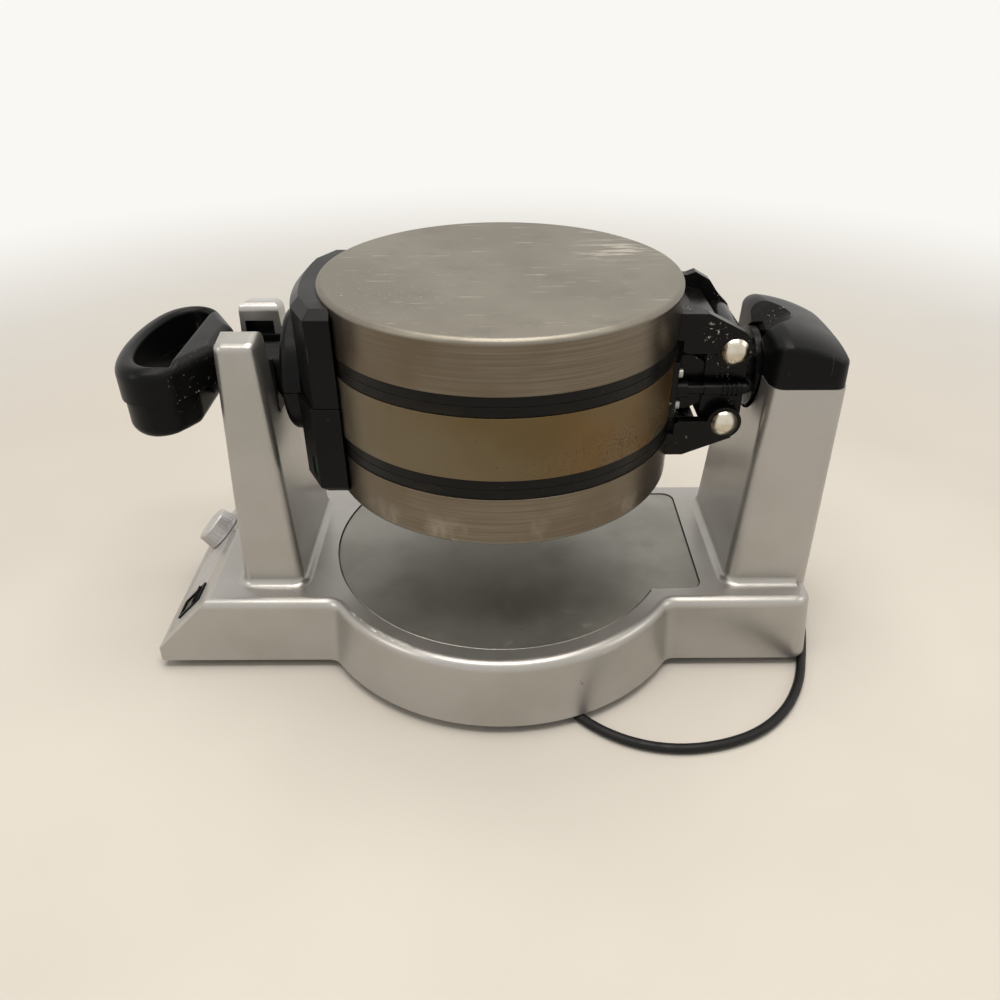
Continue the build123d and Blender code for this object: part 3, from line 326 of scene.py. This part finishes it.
def housing_steel():
    """Steel tinted straw and brown by heat, with baked grease thickest low on the hinge side."""
    s = Surface("housing_steel", linear(108, 97, 76), metallic=0.95, rough=0.36)
    lines = s.noise(16, 3, stretch=(1, 1, 90), seed=2)
    s.paint(linear(100, 85, 58), s.remap(s.noise(9, 3, seed=1), 0.38, 0.66))
    s.paint(linear(118, 110, 94), s.along(0, 0.0, -0.1))
    warm = s.remap(s.noise(15, 4, seed=5), 0.3, 0.6)
    s.paint(linear(116, 85, 46), s.overlap(s.along(0, 0.02, 0.1), warm))
    side = s.overlap(s.along(0, 0.0, 0.08), s.along(2, 0.196, 0.172))
    specks = s.remap(s.noise(760, 5, seed=8, harsh=0.7), 0.53, 0.63, 0, 0.85)
    s.paint(linear(78, 48, 24), s.overlap(specks, side))
    s.paint(linear(84, 56, 32), s.remap(s.noise(300, 3, seed=11), 0.7, 0.74, 0, 0.6))
    s.dull(0.5, s.overlap(specks, side))
    s.polish(0.5, s.remap(s.noise(30, 4, seed=3), 0.45, 0.7))
    s.relief(lines, 0.00002).relief(s.overlap(specks, side), 0.0002)
    return s.done(0.0004)


def plate_cast():
    """Cast plates with a dark release coat, browned along their rims."""
    s = Surface("plate_cast", linear(11, 10, 9), rough=0.32)
    s.gloss(0.16)
    s.paint(linear(32, 25, 17), s.remap(s.noise(26, 5, stretch=(1, 1, 3)), 0.52, 0.7, 0, 0.7))
    s.paint(linear(104, 84, 60), s.remap(s.noise(380, 3, seed=4), 0.72, 0.76, 0, 0.5))
    s.polish(0.5, s.remap(s.noise(60, 4, seed=2), 0.45, 0.7))
    s.relief(s.noise(900, 3), 0.00008)
    return s.done(0.0006)


def black_plastic():
    """Moulded grip plastic: fine grain, rubbed lighter in patches, hair scratches, dust."""
    s = Surface("black_plastic", linear(8, 8, 9), rough=0.36)
    s.gloss(0.13)
    s.paint(linear(15, 15, 16), s.remap(s.noise(20, 4), 0.45, 0.72))
    scratch = s.noise(30, 3, stretch=(1, 14, 1), angle=0.7, seed=2)
    s.paint(linear(78, 77, 74), s.remap(scratch, 0.71, 0.74, 0, 0.45))
    scratch = s.noise(30, 3, stretch=(12, 1, 1), angle=-0.4, seed=5)
    s.paint(linear(78, 77, 74), s.remap(scratch, 0.72, 0.75, 0, 0.4))
    s.paint(linear(150, 147, 140), s.remap(s.noise(520, 2, seed=8), 0.76, 0.79, 0, 0.6))
    crumbs = s.remap(s.noise(620, 3, seed=12), 0.67, 0.7, 0, 0.8)
    for centre, reach in GRIP_CRUMBS:
        s.paint(linear(196, 192, 182), s.overlap(crumbs, s.near(centre, reach, 0.012)))
    s.polish(0.3, s.remap(s.noise(24, 3, seed=4), 0.45, 0.7))
    s.relief(s.noise(1900, 2, seed=1), 0.00005)
    return s.done(0.0006)


def gloss_black():
    """Painted metal of the hinge, glossy, with a scatter of pale crumbs."""
    s = Surface("gloss_black", linear(7, 6, 6), rough=0.24)
    s.gloss(0.16)
    s.paint(linear(28, 26, 23), s.remap(s.noise(46, 4, seed=3), 0.55, 0.75, 0, 0.7))
    spread = s.remap(s.noise(42, 1, seed=6), 0.6, 0.68)
    for centre, reach in HINGE_CRUMBS:
        spread = s.math("MAXIMUM", spread, s.near(centre, reach, 0.006))
    spread = s.overlap(spread, s.along(0, 0.08, 0.1))
    crumbs = s.overlap(s.remap(s.noise(620, 3, seed=2), 0.62, 0.65), spread)
    s.paint(linear(206, 201, 190), crumbs)
    s.polish(0.7, crumbs).polish(0.4, s.remap(s.noise(60, 3, seed=8), 0.5, 0.75))
    s.relief(crumbs, 0.0003).relief(s.noise(500, 2), 0.00006)
    return s.done(0.0006)


def pin_nickel():
    """Plated pin heads, a little smudged and finely scratched."""
    s = Surface("pin_nickel", linear(206, 199, 184), metallic=1.0, rough=0.22)
    s.paint(linear(176, 165, 144), s.remap(s.noise(70, 3), 0.5, 0.75, 0, 0.5))
    s.polish(0.3, s.remap(s.noise(90, 4, seed=3), 0.48, 0.72))
    s.relief(s.noise(300, 3, stretch=(1, 1, 8), seed=5), 0.000008)
    return s.done()


def plain(name, colour, other, metallic, rough, scale, bump):
    """A simple worked surface: two tones, uneven gloss and a fine bump."""
    s = Surface(name, linear(*colour), metallic=metallic, rough=rough)
    s.paint(linear(*other), s.remap(s.noise(scale, 4), 0.42, 0.68))
    s.polish(min(1.0, rough + 0.14), s.remap(s.noise(scale * 3, 3, seed=2), 0.45, 0.7))
    s.relief(s.noise(scale * 40, 2, seed=1), bump)
    return s.done(0.0004)


PLAIN = {
    "plain_steel": ((170, 170, 168), (138, 136, 132), 1.0, 0.38, 30, 0.00004),
    "bronze": ((72, 58, 42), (54, 42, 30), 1.0, 0.45, 60, 0.00004),
    "heater_sheath": ((92, 84, 78), (58, 50, 44), 0.8, 0.52, 60, 0.00006),
    "knob_silver": ((198, 196, 196), (172, 169, 168), 0.75, 0.34, 40, 0.00003),
    "panel_grey": ((186, 184, 183), (168, 165, 163), 0.6, 0.42, 24, 0.00003),
    "board_green": ((30, 92, 58), (20, 70, 44), 0.0, 0.45, 60, 0.00003),
    "rubber_black": ((34, 33, 32), (48, 46, 44), 0.0, 0.75, 40, 0.00008),
    "blade_brass": ((204, 176, 110), (172, 142, 84), 1.0, 0.3, 70, 0.00003),
}


def lens_green():
    """Clear moulded plastic over a small lamp that is off."""
    s = Surface("lens_green", linear(76, 205, 168), rough=0.18)
    s.paint(linear(26, 116, 96), s.remap(s.noise(300, 2), 0.45, 0.7))
    s.paint(linear(110, 192, 166), s.remap(s.noise(90, 2, seed=4), 0.6, 0.75, 0, 0.6))
    s.coat(0.4, 0.03)
    return s.done(0.0005)


def cord_black():
    """Supple lead jacket: soft sheen, faint lengthwise marks and dust."""
    s = Surface("cord_black", linear(14, 14, 15), rough=0.42)
    s.gloss(0.25)
    s.paint(linear(24, 24, 25), s.remap(s.noise(60, 4), 0.45, 0.7))
    s.paint(linear(96, 94, 90), s.remap(s.noise(700, 2, seed=3), 0.72, 0.76, 0, 0.4))
    s.polish(0.55, s.remap(s.noise(90, 3, seed=6), 0.45, 0.7))
    s.relief(s.noise(900, 2, seed=2), 0.00005)
    return s.done()


finishes = {
    "silver_paint": silver_paint(),
    "tray_metal": tray_metal(),
    "lid_steel": lid_steel(),
    "housing_steel": housing_steel(),
    "plate_cast": plate_cast(),
    "black_plastic": black_plastic(),
    "gloss_black": gloss_black(),
    "pin_nickel": pin_nickel(),
    "lens_green": lens_green(),
    "cord_black": cord_black(),
}
for name, look in PLAIN.items():
    finishes[name] = plain(name, *look)

for row in frame["record"]["subparts"]:
    node = frame["nodes"][row["node"]]
    node.data.materials.clear()
    node.data.materials.append(finishes[row["material_slot"]])


# Power cord: out of the base at the back, under it, round the front and back to its coil

FLOOR_LIE = 3.2
COIL_TOP = 9.8
CORD_R = 3.0
ROUTE = [
    (-150, 96, 19),
    (-150, 112, 19),
    (-150, 134, 12.5),
    (-133, 153, 4.8),
    (-108, 157, FLOOR_LIE),
    (-79, 154, FLOOR_LIE),
    (-50, 149, FLOOR_LIE),
    (-22, 140, FLOOR_LIE),
    (1, 124, FLOOR_LIE),
    (17, 100, FLOOR_LIE),
    (24, 73, FLOOR_LIE),
    (24, 45, FLOOR_LIE),
    (19, 18, FLOOR_LIE),
    (13, -9, FLOOR_LIE),
    (11, -37, FLOOR_LIE),
    (15, -64, FLOOR_LIE),
    (25, -89, FLOOR_LIE),
    (39, -110, FLOOR_LIE),
    (57, -128.5, FLOOR_LIE),
    (80, -140.5, FLOOR_LIE),
    (105, -144.5, FLOOR_LIE),
    (131, -141, FLOOR_LIE),
    (155, -131.5, FLOOR_LIE),
    (175, -114.5, FLOOR_LIE),
    (190, -92, FLOOR_LIE),
    (199, -67, FLOOR_LIE),
    (207, -41, FLOOR_LIE),
    (214, -13, FLOOR_LIE),
    (218, 15, FLOOR_LIE),
    (219, 42, FLOOR_LIE),
    (216, 68, FLOOR_LIE),
    (207, 92, FLOOR_LIE),
    (188, 113, FLOOR_LIE),
    (162, 125, FLOOR_LIE),
    (134, 130, FLOOR_LIE),
    (108, 132, FLOOR_LIE),
    (88, 133, FLOOR_LIE),
    (68, 133, FLOOR_LIE),
]
COIL_X = 62.0
HALF_TURNS = [
    (167.35, 34.35, -90, -270, FLOOR_LIE, FLOOR_LIE),
    (169.0, 32.7, 90, -90, FLOOR_LIE, COIL_TOP),
    (170.65, 34.35, -90, -270, COIL_TOP, COIL_TOP),
]
STEPS = 6
CUT_IN = 0.9663
PLUG_START = (68, 205, COIL_TOP)


def coil_points():
    """Control points of the coil, set out a little so that the smooth line has the true radius."""
    points = []
    for centre_y, radius, start, end, low, high in HALF_TURNS:
        for step in range(STEPS):
            share = (step + 0.5) / STEPS
            angle = radians(start + (end - start) * share)
            x = COIL_X + radius / CUT_IN * cos(angle)
            y = centre_y + radius / CUT_IN * sin(angle)
            points.append((x, y, low + (high - low) * share))
    return points


def smooth_tube(name, points, radius, material):
    """A round tube along one open smooth spline through the given millimetre points."""
    curve = bpy.data.curves.new(name, "CURVE")
    curve.dimensions = "3D"
    spline = curve.splines.new("NURBS")
    spline.points.add(len(points) - 1)
    for point, (x, y, z) in zip(spline.points, points):
        point.co = ((x + DRUM_X) * MM, y * MM, z * MM, 1.0)
    spline.order_u = 3
    spline.use_endpoint_u = True
    spline.resolution_u = 8
    curve.bevel_depth = radius * MM
    curve.bevel_resolution = 5
    curve.use_fill_caps = True
    curve.materials.append(material)
    tube = bpy.data.objects.new(name, curve)
    bpy.context.scene.collection.objects.link(tube)
    return tube


cord = smooth_tube("mains_lead", ROUTE + coil_points() + [PLUG_START], CORD_R, finishes["cord_black"])
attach(cord, "base")
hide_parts("power_cord", "cord_coil")


# Floor, world and lamps

BACKGROUND = linear(250, 248, 243)
ROOM_LIGHT = 0.4
FLOOR_REACH = 30.0
FLOOR_SHADED = 0.45
FLOOR_FADE = 0.9
LAMP_AIM = (0, 0, 0.1)


def seen_or_mirrored(s):
    """1 for what the camera sees directly, in a reflection or through something clear."""
    paths = s.node("ShaderNodeLightPath").outputs
    shown = s.math("MAXIMUM", paths["Is Camera Ray"], paths["Is Glossy Ray"])
    return s.math("MAXIMUM", shown, paths["Is Transmission Ray"])


def floor():
    """Pale near the object, where it takes the shadow, and fading to plain white further out."""
    mesh = bpy.data.meshes.new("floor")
    signs = ((-1, -1), (1, -1), (1, 1), (-1, 1))
    corners = [(x * FLOOR_REACH, y * FLOOR_REACH, 0) for x, y in signs]
    mesh.from_pydata(corners, [], [(0, 1, 2, 3)])
    plane = bpy.data.objects.new("floor", mesh)
    bpy.context.scene.collection.objects.link(plane)
    s = Surface("floor_pale", linear(214, 208, 199), rough=0.7)
    s.paint(linear(209, 203, 194), s.remap(s.noise(3, 3), 0.4, 0.7))
    material = s.done()
    painted_glare = s.node("ShaderNodeEmission")
    painted_glare.inputs["Color"].default_value = BACKGROUND
    mix = s.node("ShaderNodeMixShader")
    far = s.math("SUBTRACT", 1.0, s.near((0, 0, 0), FLOOR_SHADED, FLOOR_FADE))
    s.set(mix.inputs[0], s.overlap(far, seen_or_mirrored(s)))
    s.set(mix.inputs[1], s.shader.outputs[0])
    s.set(mix.inputs[2], painted_glare.outputs[0])
    s.set(s.tree.nodes["Material Output"].inputs["Surface"], mix.outputs[0])
    mesh.materials.append(material)


def world():
    """Plain pale surroundings where they are seen or mirrored, and a dimmer, even room light elsewhere."""
    sky = bpy.data.worlds.new("world")
    bpy.context.scene.world = sky
    sky.use_nodes = True
    tree = sky.node_tree
    back = tree.nodes["Background"]
    back.inputs["Color"].default_value = BACKGROUND
    paths = tree.nodes.new("ShaderNodeLightPath")
    level = tree.nodes.new("ShaderNodeMapRange")
    level.inputs["To Min"].default_value = ROOM_LIGHT
    shown = None
    for kind in ("Is Camera Ray", "Is Glossy Ray", "Is Transmission Ray"):
        if shown is None:
            shown = paths.outputs[kind]
            continue
        larger = tree.nodes.new("ShaderNodeMath")
        larger.operation = "MAXIMUM"
        tree.links.new(shown, larger.inputs[0])
        tree.links.new(paths.outputs[kind], larger.inputs[1])
        shown = larger.outputs[0]
    tree.links.new(shown, level.inputs["Value"])
    tree.links.new(level.outputs["Result"], back.inputs["Strength"])


def soft_lamp(name, place, size, power):
    """A rectangular, slightly warm lamp that looks at the middle of the object."""
    light = bpy.data.lights.new(name, "AREA")
    light.shape = "RECTANGLE"
    light.size, light.size_y = size
    light.energy = power
    light.color = linear(255, 250, 242)[:3]
    lamp = bpy.data.objects.new(name, light)
    bpy.context.scene.collection.objects.link(lamp)
    aim = (Vector(LAMP_AIM) - Vector(place)).to_track_quat("-Z", "Y")
    lamp.matrix_world = Matrix.Translation(place) @ aim.to_matrix().to_4x4()


floor()
world()
soft_lamp("overhead", (0.05, 0.2, 1.35), (0.9, 0.6), 9)
soft_lamp("front_top", (0.0, -0.4, 1.3), (1.0, 0.25), 7.5)
soft_lamp("left_fill", (-1.3, -0.7, 1.0), (0.5, 0.5), 3)
soft_lamp("right_fill", (1.4, -0.3, 1.0), (0.5, 0.5), 2.5)

bpy.context.scene.view_settings.view_transform = "Standard"
